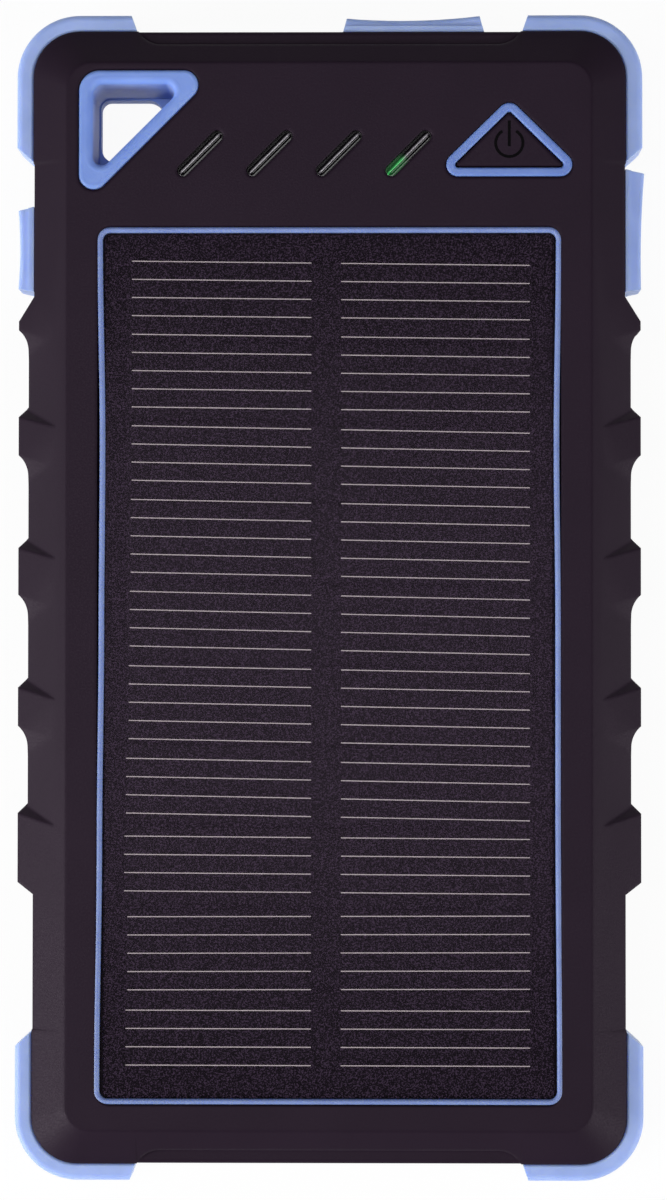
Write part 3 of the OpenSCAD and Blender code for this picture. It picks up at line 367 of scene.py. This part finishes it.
def rounded_loop(low, high, grow, radius, z, steps=8):
    """Points of a box's outline with rounded corners, grown by `grow`, anticlockwise at height z."""
    loop = []
    for x, y, start in ((high.x, high.y, 0), (low.x, high.y, 90), (low.x, low.y, 180), (high.x, low.y, 270)):
        sx = 1 if x == high.x else -1
        sy = 1 if y == high.y else -1
        for k in range(steps + 1):
            a = math.radians(start + 90 * k / steps)
            loop.append(Vector((x + sx * (grow - radius) + radius * math.cos(a),
                                y + sy * (grow - radius) + radius * math.sin(a), z)))
    return loop


def skin(shape, loops):
    """Joins loops of equal length with faces and closes the first and the last one."""
    rows = [[shape.verts.new(p) for p in loop] for loop in loops]
    for low, high in zip(rows, rows[1:]):
        for k in range(len(low)):
            shape.faces.new((low[k - 1], low[k], high[k], high[k - 1]))
    shape.faces.new(rows[0])
    shape.faces.new(rows[-1])


board_low, board_high = extent("solar_board")
cell_low, cell_high = extent("solar_cells")
resin_low, resin_high = extent("panel_resin")
trim_low, trim_high = extent("panel_trim")
button_low, button_high = extent("power_button")


def resin_sheet():
    """The resin: one slab, cast on the board round the cells, with a soft edge next to the trim."""
    shape = bmesh.new()
    edge, corner = 0.3, 0.85
    loops = [rounded_loop(resin_low, resin_high, 0, corner, board_high.z - 0.02)]
    for k in range(7):
        a = math.radians(90 * k / 6)
        loops.append(rounded_loop(resin_low, resin_high, -edge * (1 - math.cos(a)), corner,
                                  resin_high.z - edge + edge * math.sin(a)))
    skin(shape, loops)
    sheet = piece("resin_sheet", shape, resin)
    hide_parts("panel_resin")


# How far the soft trim strays outwards on its left and its right side, by Y
TRIM_LEFT = ((44.0, 0.14), (18.0, -0.23), (-5.0, -0.13), (-30.0, 0.07), (-58.0, 0.36))
TRIM_RIGHT = ((44.0, 0.16), (18.0, -0.14), (-3.0, 0.05), (-26.0, 0.04), (-58.0, 0.24))
TRIM_T, TRIM_R = 0.7, 1.6


def stray(stops, y):
    """Smooth value at y between the stops (place, value), which go down in place."""
    for (a, value_a), (b, value_b) in zip(stops, stops[1:]):
        if y >= b:
            k = min(1.0, (a - y) / (a - b))
            return value_a + (value_b - value_a) * (0.5 - 0.5 * math.cos(math.pi * max(0.0, k)))
    return stops[-1][1]


def soft_trim():
    """Trim round the panel: a soft half-round bead that isn't quite straight."""
    half = TRIM_T / 2
    corners = rounded_loop(trim_low, trim_high, -half, TRIM_R - half, 0.0)
    path = []
    for k, p in enumerate(corners):
        q = corners[(k + 1) % len(corners)]
        steps = max(1, int((q - p).length / 2.5))
        path += [p.lerp(q, i / steps) for i in range(steps)]
    section = [(-half, trim_low.z), (half, trim_low.z)]
    section += [(half * math.cos(math.radians(a)), trim_high.z - half + half * math.sin(math.radians(a)))
                for a in range(0, 181, 20)]
    shape = bmesh.new()
    rows = []
    for k, p in enumerate(path):
        along = (path[(k + 1) % len(path)] - path[k - 1]).normalized()
        out = Vector((along.y, -along.x, 0.0))
        shift = stray(TRIM_RIGHT, p.y) if p.x > 0 else -stray(TRIM_LEFT, p.y)
        middle = p + Vector((shift * min(1.0, abs(p.x) / trim_high.x), 0.0, 0.0))
        rows.append([shape.verts.new(middle + out * x + Vector((0, 0, z))) for x, z in section])
    for k in range(len(rows)):
        for i in range(len(section)):
            shape.faces.new((rows[k - 1][i - 1], rows[k - 1][i], rows[k][i], rows[k][i - 1]))
    trim = piece("soft_trim", shape, trim_silicone, smooth=True)
    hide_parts("panel_trim")


def power_sign():
    """The usual power sign on the button, a ring open at the top and a bar, drawn as flat dark strokes that
    paint the shade of its engraved groove.
    """
    shape = bmesh.new()
    middle = Vector(((button_low.x + button_high.x) / 2, 54.77, button_high.z))
    radius, stroke, gap, low, high = 1.65, 0.38, 30, -0.41, 2.72
    angles = [math.radians(90 + gap + (360 - 2 * gap) * k / 48) for k in range(49)]
    spokes = [Vector((math.cos(a), math.sin(a), 0)) for a in angles]
    lines = [[(spoke * radius, spoke) for spoke in spokes],
             [(Vector((0, low + (high - low) * k / 4, 0)), Vector((1, 0, 0))) for k in range(5)]]
    sides = ((-1, -0.02), (1, -0.02), (0.85, 0.02), (-0.85, 0.02))
    for line in lines:
        skin(shape, [[middle + at + across * (s * stroke / 2) + Vector((0, 0, z)) for s, z in sides]
                     for at, across in line])
    sign = piece("power_sign", shape, sign_groove_shade, body="button")


# Strips of the panel from the top: Y of the first finger at X 0, fingers, slope in degrees, X of the left end
STRIPS = (
    (40.23, 4, -0.64, -23.9), (31.31, 5, -0.75, -23.9), (20.07, 4, -1.09, -23.9), (11.12, 5, -1.13, -24.0),
    (-0.05, 4, -1.23, -24.1), (-9.0, 5, -1.09, -24.2), (-20.17, 4, -1.06, -24.5), (-29.29, 4, -0.42, -24.7),
    (-38.77, 5, 0.17, -24.3), (-50.13, 4, -0.09, -24.5),
)
FINGER_PITCH, FINGER_W, FINGER_T = 2.203, 0.12, 0.02
COLUMN_GAP, RIGHT_END = (-2.15, 1.47), 24.28


def cell_fingers():
    """Two columns of printed silver fingers, laid on the cells along each strip."""
    shape = bmesh.new()
    for first, count, slope, left_end in STRIPS:
        turn = Matrix.Rotation(math.radians(slope), 4, "Z")
        for k in range(count):
            place = Matrix.Translation((0, first - FINGER_PITCH * k, cell_high.z + FINGER_T / 2)) @ turn
            for x0, x1 in ((left_end, COLUMN_GAP[0]), (COLUMN_GAP[1], RIGHT_END)):
                bar = bmesh.ops.create_cube(shape, size=1)["verts"]
                size = Matrix.Diagonal((x1 - x0, FINGER_W, FINGER_T, 1))
                along = Matrix.Translation(((x0 + x1) / 2, 0, 0))
                bmesh.ops.transform(shape, verts=bar, matrix=place @ along @ size)
    piece("cell_fingers", shape, silver)


def sprung_contacts(name, tongue, out, offsets, width, length):
    """Gold contacts under a socket's tongue: thin strips with a bow near the front."""
    low, high = extent(tongue)
    middle = (low + high) / 2
    across = Vector((abs(out.y), abs(out.x), 0))
    reach = (high - low).dot(Vector((abs(out.x), abs(out.y), 0))) / 2
    shape = bmesh.new()
    thick, start, bow, bow_end = 0.12, 0.7, 0.1, 0.35
    for offset in offsets:
        rows = []
        for k in range(13):
            t = k / 12
            drop = bow * math.sin(math.pi * t / bow_end) if t < bow_end else 0.0
            at = middle + out * (reach - start - length * t) + across * offset
            at.z = low.z - drop
            rows.append([at + across * (s * width / 2) - Vector((0, 0, dz))
                         for s, dz in ((-1, 0), (1, 0), (1, thick), (-1, thick))])
        skin(shape, rows)
    piece(name, shape, gold)


resin_sheet()
cell_fingers()
soft_trim()
power_sign()
USB_CONTACTS = (-3.5, -1.0, 1.0, 3.5)
MICRO_CONTACTS = (-1.3, -0.65, 0.0, 0.65, 1.3)
sprung_contacts("usb_contacts_top", "usb_tongue_top", Vector((0, 1, 0)), USB_CONTACTS, 1.0, 7.5)
sprung_contacts("usb_contacts_side", "usb_tongue_side", Vector((1, 0, 0)), USB_CONTACTS, 1.0, 7.5)
sprung_contacts("micro_usb_contacts", "micro_usb_tongue", Vector((-1, 0, 0)), MICRO_CONTACTS, 0.4, 2.6)


# Camera, floor and light

def set_camera():
    """Straight above the panel, 0.44 m away, found from the outline and the depth of the lanyard hole."""
    data = bpy.data.cameras.new("camera")
    data.sensor_width = 36
    data.lens = 36 * 3516 / 1200
    camera = bpy.data.objects.new("camera", data)
    turn = Matrix.Identity(3)
    for angle, axis in ((1.231, "X"), (0.63, "Y"), (0.031, "Z")):
        turn = turn @ Matrix.Rotation(math.radians(angle), 3, axis)
    camera.matrix_world = Matrix.Translation(Vector((5.23, -9.71, 438.99)) * MM) @ turn.to_4x4()
    bpy.context.scene.collection.objects.link(camera)
    bpy.context.scene.camera = camera


def white_floor():
    """Pale table: white to the camera and in reflections, with a faint soft shadow left in it."""
    finish, tree = new_finish("white_table")
    ray = add(tree, "ShaderNodeLightPath")
    direct = add(tree, "ShaderNodeMath", {
        0: ray.outputs["Is Camera Ray"], 1: ray.outputs["Is Glossy Ray"],
    }, operation="MAXIMUM")
    through = add(tree, "ShaderNodeMath", {
        0: direct.outputs[0], 1: ray.outputs["Is Transmission Ray"],
    }, operation="MAXIMUM")
    seen = add(tree, "ShaderNodeMath", {0: through.outputs[0], 1: 0.94}, operation="MULTIPLY")
    paint = add(tree, "ShaderNodeBsdfDiffuse", {"Color": linear("#f4f4f4")})
    plain = add(tree, "ShaderNodeEmission", {"Color": linear("#ffffff"), "Strength": 1.0})
    both = add(tree, "ShaderNodeMixShader", {0: seen.outputs[0], 1: paint.outputs[0], 2: plain.outputs[0]})
    add(tree, "ShaderNodeOutputMaterial", {"Surface": both.outputs[0]})
    mesh = bpy.data.meshes.new("table")
    half, z = 20.0, -0.2 * MM
    corners = [(-half, -half, z), (half, -half, z), (half, half, z), (-half, half, z)]
    mesh.from_pydata(corners, [], [(0, 1, 2, 3)])
    table = bpy.data.objects.new("table", mesh)
    table.data.materials.append(finish)
    bpy.context.scene.collection.objects.link(table)


def softbox(name, place, width, height, watts):
    """Soft light that faces the object."""
    data = bpy.data.lights.new(name, "AREA")
    data.shape = "RECTANGLE"
    data.size = width
    data.size_y = height
    data.energy = watts
    lamp = bpy.data.objects.new(name, data)
    lamp.location = place
    lamp.rotation_mode = "QUATERNION"
    lamp.rotation_quaternion = (-Vector(place)).to_track_quat("-Z", "Y")
    bpy.context.scene.collection.objects.link(lamp)


def studio_light():
    """Soft side light, strongest from the left, little from the top end, and a dim room round it."""
    softbox("left_softbox", (-0.88, -0.4, 0.33), 0.7, 0.7, 12.2)
    softbox("right_softbox", (0.85, -0.42, 0.36), 0.7, 0.7, 7.4)
    softbox("overhead_strip", (-0.18, 0.0, 1.2), 0.3, 0.8, 5.0)
    world = bpy.data.worlds.new("room")
    bpy.context.scene.world = world
    world.use_nodes = True
    tree = world.node_tree
    tree.nodes.clear()
    room = add(tree, "ShaderNodeBackground", {"Color": linear("#ffffff"), "Strength": 0.1})
    add(tree, "ShaderNodeOutputWorld", {"Surface": room.outputs[0]})


set_camera()
white_floor()
studio_light()
bpy.context.scene.view_settings.view_transform = "Standard"
